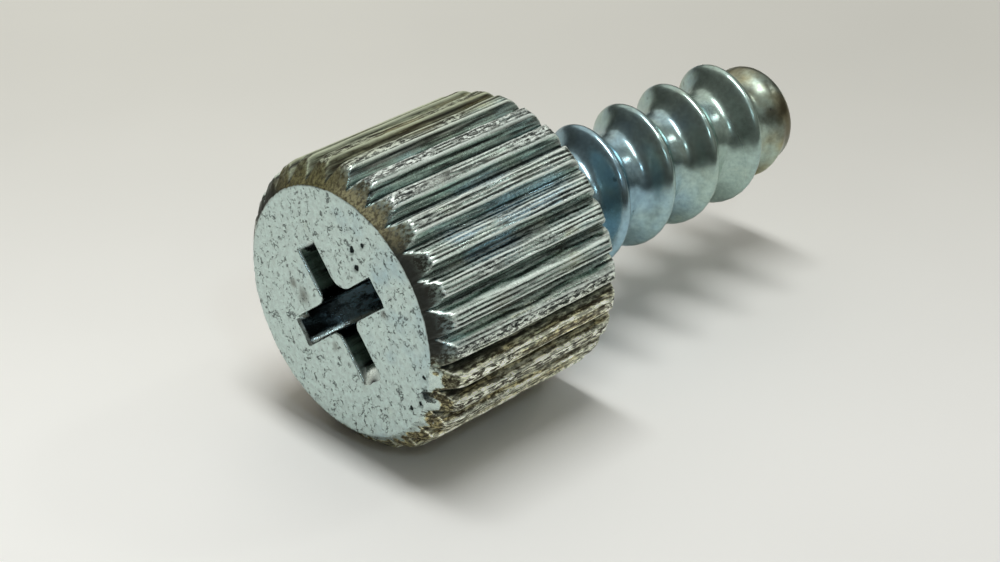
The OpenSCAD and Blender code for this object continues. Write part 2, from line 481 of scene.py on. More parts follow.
# lines that rolling left along each ridge, as shares of the ridge spacing, and how strong they are; each is drawn as
# a painted highlight with a painted shade line beside it
RIDGE_LINES = ((0.07, 0.9), (0.19, 0.7), (0.31, 1.0), (0.44, 0.7), (0.57, 0.75), (0.7, 0.95))
LINE_HALF = 0.048
LINE_RELIEF = 0.03
# a line at least this strong and this far up its ridge stays where the ridges are dull
STRONG_LINE, UPPER_LINE = 0.9, 0.1
# how far the torn plate may stand out beyond the ridges
PROUD = 0.05


def with_ridges(shares, values):
    """The shares of all ridges, with those of some ridges set."""
    for ridge, value in values.items():
        shares[ridge % len(shares)] = value
    return shares


def ridge_form(s, i, p, along, rng):
    """How high a point stands from groove to land, from 0 to 1, and its radius before any wear."""
    n = s.ridge_count
    starts, stops = rng.uniform(-0.04, 0.04, n), rng.uniform(-0.04, 0.04, n)
    low, deep = rng.uniform(-0.03, 0.03, n), rng.uniform(-0.03, 0.05, n)
    # the ridges that carry the head keep their size
    carried = np.array([0, 1, n - 2, n - 1])
    starts[carried], stops[carried], low[carried] = 0, 0, 0
    wander_1 = 0.03 * soft_noise(rng, (i + 0.5) / n, along, n, 7)
    wander_2 = 0.03 * soft_noise(rng, (i + 0.5) / n, along, n, 7)
    floor = s.floor_share / 2
    land = (1 - s.land_share) / 2
    rise = (p - floor) / (land + starts[i] + wander_1 - floor)
    fall = (1 - floor - p) / (land + stops[i] + wander_2 - floor)
    height = soft_min(soft_min(rise, fall, 0.08), 1.0, 0.12)
    height = np.clip(-soft_min(-height, 0.0, 0.05), 0, 1)
    floor_r = s.groove_r + deep[i]
    return height, floor_r + (s.head_r - low[i] - floor_r) * height


def ridge_lines(s, i, p, z, around, rng):
    """The pale and the black lines along the ridges, from 0 to 1: painted highlights and painted shade over the
    rolled lines.
    """
    n, along = s.ridge_count, z / s.head_len
    kept = 1 - between(around, *DULL_RIDGES, 8, 30) - between(around, *DULL_TOP, 15, 8)
    # foot is a painted highlight along the foot of each ridge's rising side
    foot = np.exp(-(((p - 0.05) / 0.022) ** 2)) * ease(0.9 + soft_noise(rng, around / 360, along, n, 9))
    # painted light: the rising side of each ridge is drawn pale, more on some ridges
    shine = with_ridges(np.full(n, 0.4), BRIGHT_RIDGES)
    pale = np.maximum(foot, shine[i] * between(p, 0.08, 0.32, 0.06, 0.06)) * kept
    # painted highlight on the tops of some ridges near the face
    front = with_ridges(np.zeros(n), BRIGHT_FRONTS)
    pale = np.maximum(pale, front[i] * ease((3.4 - z) / 1.6) * between(p, 0.24, 0.66, 0.06, 0.06))
    # painted shade: a black line at the root of each groove
    black = 0.9 * thin_line(p, 0.965, 0.05)
    # where the ridges are dull, the foot of the rising side is drawn black: painted shadow of the ridge before it,
    # and tarnish
    black = np.maximum(black, (1 - kept) * np.clip(1.25 - p / 0.22, 0, 1))
    for at, strength in RIDGE_LINES:
        drift = at + 0.03 * soft_noise(rng, (i + 0.5) / n, along, n, 6)
        left = 0.9 if strength >= STRONG_LINE and at > UPPER_LINE else 0.15
        broken = ease(0.8 + 1.2 * soft_noise(rng, (i + 0.5) / n, along, n, 8))
        shown = strength * broken * (left + (1 - left) * kept)
        pale = np.maximum(pale, shown * thin_line(p, drift, LINE_HALF))
        black = np.maximum(black, shown * thin_line(p, drift + 1.5 * LINE_HALF, LINE_HALF))
    return pale, black


def knurl(s, finish, phi, z, rng):
    """Radius over the ridges and grooves, with marks for the painted shade on the sides, the painted highlight and
    shade lines, and the rough patches.
    """
    turns, along, around = phi / TURN, z / s.head_len, np.degrees(phi)
    n = s.ridge_count
    u = phi / s.ridge_step
    # the ridge that a point is on, and the share of the ridge spacing from its groove
    i = np.floor(u + 1e-9).astype(int) % n
    p = u - np.floor(u + 1e-9)
    height, r = ridge_form(s, i, p, along, rng)
    # thin folds that rolling leaves along the ridges, and a shallower wave under them
    fold_1 = soft_noise(rng, turns + 0.0008 * soft_noise(rng, turns, along, n, 6), along, n * 6, 4)
    fold_2 = soft_noise(rng, turns, along, n * 9, 7)
    wave = soft_noise(rng, turns, along, n * 7, 5)
    folds = thin_line(fold_1, 0, 0.32) ** 1.5 + 0.7 * thin_line(fold_2, 0, 0.35) ** 1.5
    # the side of a ridge that falls away stays smooth, and is painted darker as shade
    lee = ease((p - 0.6) / 0.1)
    rough_share = with_ridges(rng.uniform(0, 0.45, n), ROUGH_RIDGES)
    rough = ease((rough_share[i] + 0.6 * soft_noise(rng, turns, along, n * 2, 6) - 0.2) / 0.5)
    rough = rough * ease((p - 0.22) / 0.1) * (1 - lee)
    lumps = soft_noise(rng, turns, along, n * 9, 30) * rough
    streaks = finish.streak_depth / MM * (1 - 0.75 * lee) * (folds - 0.7 * wave)
    r = r - streaks + finish.pit_depth / MM * lumps
    carries = ease(2.2 - np.minimum(phi, TURN - phi) / s.ridge_step)
    r = np.minimum(r, s.head_r + PROUD * (1 - carries))
    # painted shade: the groove and the side of each ridge that falls away are marked to be drawn darker
    shade = (1 - height) * (0.15 + 0.85 * lee)
    pale, black = ridge_lines(s, i, p, z, around, rng)
    r = r + LINE_RELIEF * (pale * (1 - carries) - black)
    tint = np.zeros_like(pale)
    for middle, at, spread, length in TINTS:
        far = ((around - middle) / spread) ** 2 + ((z - at) / length) ** 2
        tint = np.maximum(tint, np.exp(-far))
    return r, shade, np.where(black > pale, -black, pale), {"rough": rough, "tint": tint}


BEVEL_ROWS, SIDE_ROWS, SEAT_ROWS = 14, 27, 8
# where the rows of the sloped edge start, and how far they run past it
BEVEL_START, BEVEL_PAST = 0.02, 0.06
# how gently the ridges roll over into the sloped edge
ROLL_OVER = 0.34
# how uneven the sloped edge is, and how deep it has flaked
UNEVEN, FLAKE_DEPTH = 0.012, 0.12
# how far an edge stands out beyond its neighbours where it is drawn bright, as worn plate and as a painted highlight
WORN_EDGE = 0.022


def head_side(s, finish, skin, rng):
    """The sloped edge round the face, the ridges, and the rounded edge round the seat."""
    phi = TURN * np.arange(s.fine)[None, :] / s.fine
    bevel_end = s.face_bevel_len + BEVEL_PAST
    bevel = np.linspace(BEVEL_START, bevel_end, BEVEL_ROWS, endpoint=False)
    side_end = s.head_len - s.seat_bevel_len
    side = np.linspace(bevel_end, side_end, SIDE_ROWS, endpoint=False)
    seat = side_end + s.seat_bevel_len * np.sin(np.linspace(0, TURN / 4, SEAT_ROWS))
    z = np.concatenate([bevel, side, seat])[:, None]
    r, shade, lines, marks = knurl(s, finish, phi, z, rng)
    turns, around, up = phi / TURN, np.degrees(phi), z / s.face_bevel_len
    cone = s.face_r + up * s.face_bevel_w
    cone = cone + UNEVEN * (soft_noise(rng, turns, up, 80, 4) + soft_noise(rng, turns, up, 240, 4))
    flaked = ease(1.4 - 1.4 * np.abs(around - FLAKED[0]) / FLAKED[1])
    cone = cone - FLAKE_DEPTH * flaked * np.clip(soft_noise(rng, turns, up, 75, 4), 0, 1)
    on_cone = ease((r - cone) / 0.05)
    # the painted highlights at the ends of the ridges and on their edges near the face are weaker on top than down
    # the side
    lively = 0.5 + 0.5 * ease((around - 195) / 15)
    # tips: a painted highlight where each ridge meets the sloped edge
    tips = np.exp(-(((r - cone + 0.07) / 0.05) ** 2)) * (1 - shade) * ease((1.1 - z) / 0.3) * lively
    lines = np.where(tips > 0.3, np.maximum(lines, tips), lines)
    r = soft_min(r, cone, ROLL_OVER)
    t = np.clip((z - side_end) / s.seat_bevel_len, 0, 1)
    dome = s.seat_r + s.seat_bevel_w * np.sqrt(np.clip(1 - t ** 2, 0, 1))
    r = soft_min(r, dome + 0.01, 0.04)
    blur = sum(np.roll(r, k, axis=1) for k in range(-2, 3)) / 5
    # edges that stand out are drawn bright: partly worn plate, partly painted highlight
    worn = np.clip((r - blur) / WORN_EDGE, 0, 1) * (1 - 0.9 * on_cone)
    worn = worn * (lively + (1 - lively) * ease(z - 0.5))
    hole_at, hole_half, hole_depth = RIM_HOLE
    hole = np.exp(-(((around - hole_at) / hole_half) ** 6) - (z / 0.2) ** 6)
    r = r - hole_depth * hole
    # the rim hole is drawn dark
    marks["line"] = lines * (1 - on_cone) * (1 - hole) - hole
    marks["rough"] = marks["rough"] * (1 - on_cone)
    band = between(around, *TARNISHED, 25, 12)
    ragged = ease((0.24 + 0.22 * soft_noise(rng, turns, up, 120, 5) - z) / 0.07)
    # brown is above 0, and bare plate below it
    brown = 1 - 0.55 * ease((z - 0.15) / 0.3)
    tarnished = on_cone * (band * brown + (1 - band) * (0.5 - 1.45 * ragged))
    for k in range(len(z)):
        row = {name: value[k] for name, value in marks.items()}
        zone = KNURL if k else FACE
        # the ridge rows carry the painted shade of the sides, where tarnish also gathers; the first row carries the
        # rim hole
        row["cavity"] = shade[k] if k else hole[k]
        skin.add_round(r[k], phi[0], z[k, 0], zone, worn=worn[k], stain=tarnished[k], **row)


SEAT_RINGS, FLARE_ROWS, THREAD_ROWS, END_ROWS = 5, 8, 126, 7
# rings across the blunt end, as shares of its radius, and how far its middle is dished
END_SHARES = (0.85, 0.62, 0.38, 0.16)
END_DISH = 0.02


def shank(s, skin):
    """The seat ring, the flare under the head, the thread and the rounded end."""
    phi = TURN * np.arange(s.coarse) / s.coarse
    for r in np.linspace(s.seat_r - 0.12, s.flare_r + 0.04, SEAT_RINGS):
        skin.add_round(r, phi, s.head_len, SHANK, cavity=0.5)
    rows = list(np.linspace(s.head_len, s.head_len + s.flare_len, FLARE_ROWS)[1:])
    rows += list(np.linspace(s.head_len + s.flare_len, s.total - s.end_r, THREAD_ROWS)[1:])
    ends = np.linspace(0, TURN / 4, END_ROWS)[1:]
    draws = [0.0] * len(rows) + list(s.end_r * (1 - np.cos(ends)))
    rows += list(s.total - s.end_r * (1 - np.sin(ends)))
    for z, draw in zip(rows, draws):
        e = ease((z - s.head_len - s.neck_len) / s.rise_len)
        e = e * ease((s.total - s.end_plain_len - z) / s.runout_len)
        turns = (z - s.head_len - s.crest_start + s.crest_pitch * phi / TURN) / s.crest_pitch
        crest = np.abs(np.cos(turns * math.pi)) ** s.crest_power
        r = s.plain_r * (1 - e) + (s.root_r + s.thread_depth * crest) * e
        flare = s.flare_r + (s.plain_r - s.flare_r) * (z - s.head_len) / s.flare_len
        r = -soft_min(-r, -flare, 0.12)
        skin.add_round(r - draw, phi, z, SHANK, cavity=1 - crest * e, worn=crest * e)
    end = r - draw
    for k in END_SHARES:
        skin.add_round(end * k, phi, s.total - END_DISH * (1 - k), SHANK, cavity=0.5)


SEED = 29


def screw_mesh(props, finish):
    """The whole skin as one closed mesh in the part's frame."""
    s = Sizes(props)
    rng = np.random.default_rng(SEED)
    skin = Skin()
    recess_and_face(s, skin, rng)
    head_side(s, finish, skin, rng)
    shank(s, skin)
    poles = [[0, 0, s.recess_depth + s.recess_point], [0, 0, s.total - END_DISH]]
    local = np.concatenate(skin.rings + [np.array(poles)])
    marks = np.concatenate(skin.marks + [skin.marks[0][:1], skin.marks[-1][:1]])
    place = np.stack([local[:, 2] - s.total / 2, local[:, 1], s.axis_z - local[:, 0]], axis=1) * MM
    faces, zones = skin.faces()
    mesh = bpy.data.meshes.new("thumb_screw_skin")
    mesh.from_pydata(place.tolist(), [], faces)
    mesh.polygons.foreach_set("material_index", zones)
    mesh.polygons.foreach_set("use_smooth", [True] * len(faces))
    for k, name in enumerate(MARKS):
        mesh.attributes.new(name, "FLOAT", "POINT").data.foreach_set("value", marks[:, k].astype(np.float32))
    mesh.update()
    if mesh.validate():
        raise RuntimeError("the screw's mesh had faces that Blender took out")
    return mesh


def node(tree, kind, sockets=None, **settings):
    """Adds a node; a socket's value is a number, a colour, or another node's output to link."""
    made = tree.nodes.new(kind)
    for name, value in settings.items():
        setattr(made, name, value)
    for key, value in (sockets or {}).items():
        if isinstance(value, bpy.types.NodeSocket):
            tree.links.new(value, made.inputs[key])
        else:
            made.inputs[key].default_value = value
    return made


def calc(tree, operation, a, b):
    """The output of a Math node."""
    return node(tree, "ShaderNodeMath", {0: a, 1: b}, operation=operation).outputs[0]


def times(tree, a, b):
    """Two values multiplied."""
    return calc(tree, "MULTIPLY", a, b)


def larger(tree, *values):
    """The largest of some values."""
    most = values[0]
    for value in values[1:]:
        most = calc(tree, "MAXIMUM", most, value)
    return most


def less(tree, value):
    """What is left of 1."""
    return calc(tree, "SUBTRACT", 1.0, value)


def remap(tree, value, low, high, to_low=0.0, to_high=1.0):
    """The output of a smooth Map Range node."""
    sockets = {"Value": value, "From Min": low, "From Max": high, "To Min": to_low, "To Max": to_high}
    return node(tree, "ShaderNodeMapRange", sockets, interpolation_type="SMOOTHSTEP").outputs[0]


def blend(tree, factor, a, b, mode="MIX"):
    """The output of a colour Mix node."""
    return node(tree, "ShaderNodeMix", {0: factor, 6: a, 7: b}, data_type="RGBA", blend_type=mode).outputs[2]


def grain(tree, place, scale, detail=3.0, rough=0.55, twist=0.0):
    """The output of a Noise node, scale in repeats a metre."""
    sockets = {"Vector": place, "Scale": scale, "Detail": detail, "Roughness": rough, "Distortion": twist}
    return node(tree, "ShaderNodeTexNoise", sockets).outputs[0]


def mark(tree, name):
    """A value that the mesh carries."""
    return node(tree, "ShaderNodeAttribute", attribute_name=name).outputs["Fac"]


def colour(value):
    """A property's colour with its alpha."""
    return (*value, 1.0)


def new_group(name, inputs, outputs):
    """An empty node group with its sockets."""
    tree = bpy.data.node_groups.new(name, "ShaderNodeTree")
    for label, kind, value in inputs:
        tree.interface.new_socket(label, in_out="INPUT", socket_type="NodeSocket" + kind).default_value = value
    for label, kind in outputs:
        tree.interface.new_socket(label, in_out="OUTPUT", socket_type="NodeSocket" + kind)
    return tree, tree.nodes.new("NodeGroupInput").outputs, tree.nodes.new("NodeGroupOutput").inputs


def object_place(tree):
    """Coordinates in metres in the part's frame."""
    return node(tree, "ShaderNodeTexCoord").outputs["Object"]


def mottle_group(finish):
    """Zinc colour that drifts between the clean plate, a blue film and a yellowed film."""
    inputs = [
        ("Plate", "Color", colour(finish.pale)),
        ("Film", "Color", colour(finish.blue)),
        ("Yellowed", "Color", colour(finish.olive)),
        ("Film Amount", "Float", 0.3),
        ("Yellowed Amount", "Float", 0.2),
    ]
    tree, given, put = new_group("Zinc Mottle", inputs, [("Color", "Color"), ("Value", "Float")])
    place = object_place(tree)
    film = calc(tree, "ADD", grain(tree, place, 450.0, 3.0), given["Film Amount"])
    shifted = node(tree, "ShaderNodeVectorMath", {0: place, 1: (0.37, 0.11, 0.53)}, operation="ADD").outputs[0]
    yellow = calc(tree, "ADD", grain(tree, shifted, 600.0, 3.0), given["Yellowed Amount"])
    fine = grain(tree, place, 5200.0, 4.0, 0.65)
    base = blend(tree, remap(tree, film, 0.6, 1.0), given["Plate"], given["Film"])
    base = blend(tree, remap(tree, yellow, 0.6, 1.0), base, given["Yellowed"])
    shade = remap(tree, fine, 0.3, 0.7, 0.82, 1.1)
    tree.links.new(blend(tree, 1.0, base, shade, "MULTIPLY"), put["Color"])
    tree.links.new(fine, put["Value"])
    return tree


def flecks_group():
    """Short dark strokes where the plate is broken, drawn by the folds of a noise."""
    inputs = [("Scale", "Float", 3000.0), ("Density", "Float", 0.5)]
    tree, given, put = new_group("Plate Flecks", inputs, [("Mask", "Float")])
    place = object_place(tree)
    noise = grain(tree, place, given["Scale"], 3.0, 0.6)
    folds = calc(tree, "ABSOLUTE", calc(tree, "SUBTRACT", noise, 0.5), 0.0)
    thin = remap(tree, folds, 0.035, 0.012)
    shifted = node(tree, "ShaderNodeVectorMath", {0: place, 1: (0.21, 0.47, 0.13)}, operation="ADD").outputs[0]
    patches = grain(tree, shifted, given["Scale"], 2.0, 0.5)
    kept = calc(tree, "ADD", patches, times(tree, given["Density"], 0.2))
    tree.links.new(times(tree, thin, remap(tree, kept, 0.62, 0.68)), put["Mask"])
    return tree


def pits_group():
    """Small pits and flecks with ragged outlines."""
    inputs = [("Scale", "Float", 4000.0), ("Share", "Float", 0.3), ("Width", "Float", 0.3)]
    tree, given, put = new_group("Plate Pits", inputs, [("Mask", "Float")])
    place = object_place(tree)
    drift = node(tree, "ShaderNodeTexNoise", {"Vector": place, "Scale": 2600.0, "Detail": 2.0}).outputs["Color"]
    drift = node(tree, "ShaderNodeVectorMath", {0: drift, "Scale": 0.00035}, operation="SCALE").outputs[0]
    bent = node(tree, "ShaderNodeVectorMath", {0: place, 1: drift}, operation="ADD").outputs[0]
    cell = node(tree, "ShaderNodeTexVoronoi", {"Vector": bent, "Scale": given["Scale"], "Randomness": 1.0})
    pick = node(tree, "ShaderNodeSeparateColor", {0: cell.outputs["Color"]})
    kept = calc(tree, "LESS_THAN", pick.outputs[0], given["Share"])
    reach = times(tree, remap(tree, pick.outputs[1], 0.0, 1.0, 0.35, 1.0), given["Width"])
    inside = calc(tree, "SUBTRACT", reach, cell.outputs["Distance"])
    tree.links.new(times(tree, remap(tree, inside, -0.02, 0.08), kept), put["Mask"])
    return tree


def streak_group():
    """Fine lines along the screw, as rolling leaves them."""
    inputs = [("Scale", "Float", 6000.0), ("Stretch", "Float", 0.07)]
    tree, given, put = new_group("Rolled Streaks", inputs, [("Value", "Float")])
    long = node(tree, "ShaderNodeCombineXYZ", {0: given["Stretch"], 1: 1.0, 2: 1.0}).outputs[0]
    drawn = node(tree, "ShaderNodeVectorMath", {0: object_place(tree), 1: long}, operation="MULTIPLY").outputs[0]
    tree.links.new(grain(tree, drawn, given["Scale"], 4.0, 0.7), put["Value"])
    return tree


def tarnish_group():
    """Where brown tarnish has gathered: in hollows, in patches."""
    inputs = [("Hollow", "Float", 0.0), ("Amount", "Float", 0.5)]
    tree, given, put = new_group("Tarnish", inputs, [("Mask", "Float")])
    place = object_place(tree)
    patches = grain(tree, place, 900.0, 4.0, 0.65)
    held = calc(tree, "ADD", times(tree, given["Hollow"], 0.55), patches)
    held = calc(tree, "ADD", held, given["Amount"])
    tree.links.new(remap(tree, held, 0.95, 1.35), put["Mask"])
    return tree


def placed(tree, group, **sockets):
    """Places a node group; underscores in the names stand for spaces."""
    made = node(tree, "ShaderNodeGroup", node_tree=group)
    for key, value in sockets.items():
        socket = made.inputs[key.replace("_", " ")]
        if isinstance(value, bpy.types.NodeSocket):
            tree.links.new(value, socket)
        else:
            socket.default_value = value
    return made.outputs


def new_finish(name, metallic=1.0):
    """A material with its shader."""
    material = bpy.data.materials.new(name)
    material.use_nodes = True
    tree = material.node_tree
    shader = tree.nodes["Principled BSDF"]
    shader.inputs["Metallic"].default_value = metallic
    return material, tree, shader


def bump(tree, height, strength, distance, below=None):
    """The output of a Bump node, distance in metres."""
    sockets = {"Strength": strength, "Distance": distance, "Height": height}
    if below is not None:
        sockets["Normal"] = below
    return node(tree, "ShaderNodeBump", sockets).outputs[0]


def face_finish(finish, groups):
    """Satin plate with dark flecks and pits and a few brown stains, drawn darker in the dents and the rim hole."""
    material, tree, shader = new_finish("zinc_face")
    mottle = placed(tree, groups["mottle"], Plate=colour(finish.pale), Film_Amount=0.05, Yellowed_Amount=0.0)
    flecks = placed(tree, groups["flecks"], Scale=2700.0, Density=mark(tree, "rough"))["Mask"]
    small = placed(tree, groups["flecks"], Scale=4600.0, Density=mark(tree, "rough"))["Mask"]
    large = placed(tree, groups["pits"], Scale=1900.0, Share=0.22, Width=0.26)["Mask"]
    marks = larger(tree, flecks, times(tree, small, 0.75), large)
    stained = placed(tree, groups["tarnish"], Hollow=mark(tree, "stain"), Amount=0.25)["Mask"]
    stained = times(tree, stained, mark(tree, "stain"))
    base = blend(tree, times(tree, stained, 0.7), mottle["Color"], colour(finish.brown))
    base = blend(tree, times(tree, marks, 0.75), base, colour(finish.dark))
    # the dents and the rim hole are drawn darker
    chip = calc(tree, "ADD", mark(tree, "cavity"), grain(tree, object_place(tree), 6000.0, 2.0))
    base = blend(tree, remap(tree, chip, 1.02, 1.12), base, colour(finish.dark))
    tree.links.new(base, shader.inputs["Base Color"])
    tree.links.new(remap(tree, mottle["Value"], 0.3, 0.7, 0.34, 0.5), shader.inputs["Roughness"])
    normal = bump(tree, mottle["Value"], 0.5, 0.00003)
    normal = bump(tree, less(tree, marks), 0.7, 0.00004, normal)
    tree.links.new(normal, shader.inputs["Normal"])
    return material


# heights in metres between which the low ridges turn brown, and the sloped edge turns from black to brown
LOW_RIDGES, CROWN = (0.0056, 0.0044), (0.0079, 0.0089)
# the band on top whose ridges are dull: where it starts and ends across the screw, in metres
TOP_START, TOP_END = (-0.0008, 0.0006), (0.0042, 0.003)
# what the tarnish on the low ridges and on the top ones does to their colour
LOW_TINT, TOP_TINT = (1.0, 0.95, 0.82), (0.6, 0.6, 0.47)


def knurl_finish(finish, groups):
    """Rolled plate: streaks along the ridges, painted shade on the sides that fall away, tarnish in the grooves and
    round the face, and painted highlights on the edges, the lines and the specks.
    """
    material, tree, shader = new_finish("zinc_knurl")
    apart = node(tree, "ShaderNodeSeparateXYZ", {0: object_place(tree)}).outputs
    height = apart[2]
    low = remap(tree, height, *LOW_RIDGES)
    crown = remap(tree, height, *CROWN)
    top = calc(tree, "MINIMUM", remap(tree, apart[1], *TOP_START), remap(tree, apart[1], *TOP_END))
    film = remap(tree, mark(tree, "tint"), 0.0, 1.0, 0.1, 0.6)
    yellow = remap(tree, height, 0.0068, 0.003, 0.08, 0.5)
    yellow = larger(tree, yellow, remap(tree, top, 0.0, 1.0, 0.06, 0.3))
    mottle = placed(tree, groups["mottle"], Plate=colour(finish.grey), Film_Amount=film, Yellowed_Amount=yellow)
    streak = placed(tree, groups["streak"], Scale=8500.0, Stretch=0.04)["Value"]
    torn = placed(tree, groups["streak"], Scale=10000.0, Stretch=0.35)["Value"]
    speck = remap(tree, torn, 0.46, 0.54)
    rough = mark(tree, "rough")
    lower = remap(tree, height, *LOW_RIDGES, -0.25, 0.95)
    lower = larger(tree, lower, remap(tree, top, 0.0, 1.0, -0.25, 0.9))
    dirty = placed(tree, groups["tarnish"], Hollow=mark(tree, "cavity"), Amount=lower)["Mask"]
    brown = larger(tree, mark(tree, "stain"), 0.0)
    edge = placed(tree, groups["tarnish"], Hollow=brown, Amount=0.55)["Mask"]
    edge = times(tree, edge, brown)
    plated = larger(tree, times(tree, mark(tree, "stain"), -1.0), 0.0)
    flecks = placed(tree, groups["flecks"], Scale=2600.0, Density=0.6)["Mask"]
    plate = blend(tree, times(tree, flecks, 0.85), colour(finish.pale), colour(finish.dark))
    # pale and black are painted highlight and painted shade lines along the ridges
    pale = larger(tree, mark(tree, "line"), 0.0)
    pale = times(tree, pale, remap(tree, torn, 0.38, 0.52, 0.3, 1.0))
    black = larger(tree, times(tree, mark(tree, "line"), -1.0), 0.0)
    lit = larger(tree, pale, mark(tree, "worn"), times(tree, speck, rough))
    clean = less(tree, times(tree, lit, 0.75))
    dirty = times(tree, dirty, remap(tree, torn, 0.44, 0.6, 0.85, 0.35))
    dirty = larger(tree, dirty, times(tree, edge, 0.95))
    dirty = times(tree, times(tree, dirty, clean), less(tree, plated))
    # painted shade: the sides of the ridges that fall away are drawn in the shaded colour
    shade = times(tree, mark(tree, "cavity"), clean)
    base = blend(tree, times(tree, shade, 0.9), mottle["Color"], colour(finish.shaded))
    base = blend(tree, 1.0, base, remap(tree, streak, 0.42, 0.58, 0.12, 1.9), "MULTIPLY")
    base = blend(tree, times(tree, pale, 0.9), base, colour(finish.bright))
    # the specks of torn plate are drawn bright and dark: painted highlights and painted shadows on real pits
    specks = blend(tree, speck, colour(finish.dark), colour(finish.bright))
    base = blend(tree, times(tree, rough, 0.95), base, specks)
    base = blend(tree, dirty, base, colour(finish.brown))
    blackened = times(tree, edge, remap(tree, crown, 0.0, 1.0, 0.75, 0.1))
    base = blend(tree, blackened, base, colour(finish.dark))
    yellowed = times(tree, times(tree, crown, edge), remap(tree, torn, 0.42, 0.58, 0.2, 1.0))
    base = blend(tree, yellowed, base, colour(finish.olive))
    base = blend(tree, plated, base, plate)
    base = blend(tree, black, base, colour(finish.dark))
    # bright edges: worn plate and painted highlight
    base = blend(tree, times(tree, mark(tree, "worn"), 0.9), base, colour(finish.bright))
    warm = times(tree, low, less(tree, plated))
    base = blend(tree, warm, base, colour(LOW_TINT), "MULTIPLY")
    base = blend(tree, top, base, colour(TOP_TINT), "MULTIPLY")
    base = blend(tree, warm, base, remap(tree, torn, 0.4, 0.6, 0.55, 2.05), "MULTIPLY")
    tree.links.new(base, shader.inputs["Base Color"])
    matt = times(tree, lit, remap(tree, low, 0.0, 1.0, 0.95, 0.6))
    matt = larger(tree, matt, times(tree, top, 0.7))
    spread = larger(tree, times(tree, dirty, 0.75), matt)
    tree.links.new(less(tree, spread), shader.inputs["Metallic"])
    smooth = remap(tree, mottle["Value"], 0.3, 0.7, 0.18, 0.34)
    dull = calc(tree, "ADD", smooth, times(tree, dirty, 0.45))
    tree.links.new(dull, shader.inputs["Roughness"])
    shader.inputs["Specular IOR Level"].default_value = 0.2
    normal = bump(tree, streak, 0.35, 0.00003)
    grit = times(tree, torn, times(tree, low, 0.5))
    grit = larger(tree, times(tree, speck, rough), grit)
    normal = bump(tree, grit, 0.9, 0.00005, normal)
    tree.links.new(normal, shader.inputs["Normal"])
    return material


def recess_finish(finish, groups):
    """The recess: painted dark inside as shade, with a painted blue sheen down one wing, a green film on one side of
    two wings drawn lighter as painted light, a painted glint at one wing's end, and pale plate at its lip.
    """
    material, tree, shader = new_finish("zinc_recess")
    mottle = placed(tree, groups["mottle"], Plate=colour(finish.pale), Film_Amount=0.1, Yellowed_Amount=0.05)
    streak = placed(tree, groups["streak"], Scale=4500.0, Stretch=0.12)["Value"]
    # painted shade: the inside of the recess is drawn near black
    inside = blend(tree, 1.0, colour(finish.dark), remap(tree, streak, 0.3, 0.7, 0.02, 0.4), "MULTIPLY")
    # painted sheen: a lamp's blue reflection drawn into the colour down one wing's end
    sheen = times(tree, mark(tree, "stain"), remap(tree, streak, 0.38, 0.58, 0.35, 1.0))
    inside = blend(tree, sheen, inside, colour(finish.sheen))
    # a green film on one side of two wings, drawn lighter as painted light on those walls
    film = times(tree, mark(tree, "rough"), remap(tree, streak, 0.35, 0.6, 0.1, 0.9))
    inside = blend(tree, film, inside, colour(finish.green))
    # the recess is drawn in its painted dark wherever it has no glint
    deep = times(tree, mark(tree, "cavity"), less(tree, mark(tree, "worn")))
    base = blend(tree, deep, mottle["Color"], inside)
    # painted glint: the white at one wing's end and along its edges
    glint = times(tree, mark(tree, "cavity"), mark(tree, "worn"))
    base = blend(tree, glint, base, colour(finish.bright))
    tree.links.new(base, shader.inputs["Base Color"])
    filmed = larger(tree, mark(tree, "rough"), times(tree, sheen, 0.65))
    tree.links.new(remap(tree, filmed, 0.0, 0.7, 1.0, 0.0), shader.inputs["Metallic"])
    tree.links.new(remap(tree, mottle["Value"], 0.3, 0.7, 0.2, 0.34), shader.inputs["Roughness"])
    tree.links.new(bump(tree, streak, 0.4, 0.00004), shader.inputs["Normal"])
    return material


def shank_finish(finish, groups):
    """Smooth bright thread: blue near the head, grey further out, yellowed at the end."""
    material, tree, shader = new_finish("zinc_shank")
    along = node(tree, "ShaderNodeSeparateXYZ", {0: object_place(tree)}).outputs[0]
    film = remap(tree, along, 0.0085, -0.001, 0.12, 0.48)
    yellow = remap(tree, along, 0.0065, 0.0095, 0.0, 0.34)
    mottle = placed(tree, groups["mottle"], Plate=colour(finish.thread), Film_Amount=film, Yellowed_Amount=yellow)
    pits = placed(tree, groups["pits"], Scale=2600.0, Share=0.1, Width=0.2)["Mask"]
    end = remap(tree, along, 0.007, 0.0099, -0.4, 0.2)
    dirty = placed(tree, groups["tarnish"], Hollow=mark(tree, "cavity"), Amount=end)["Mask"]
    base = blend(tree, times(tree, dirty, 0.7), mottle["Color"], colour(finish.brown))
    base = blend(tree, times(tree, pits, 0.5), base, colour(finish.dark))
    tree.links.new(base, shader.inputs["Base Color"])
    tree.links.new(remap(tree, along, 0.004, 0.0095, 0.24, 0.3), shader.inputs["Roughness"])
    tree.links.new(bump(tree, mottle["Value"], 0.05, 0.00002), shader.inputs["Normal"])
    return material


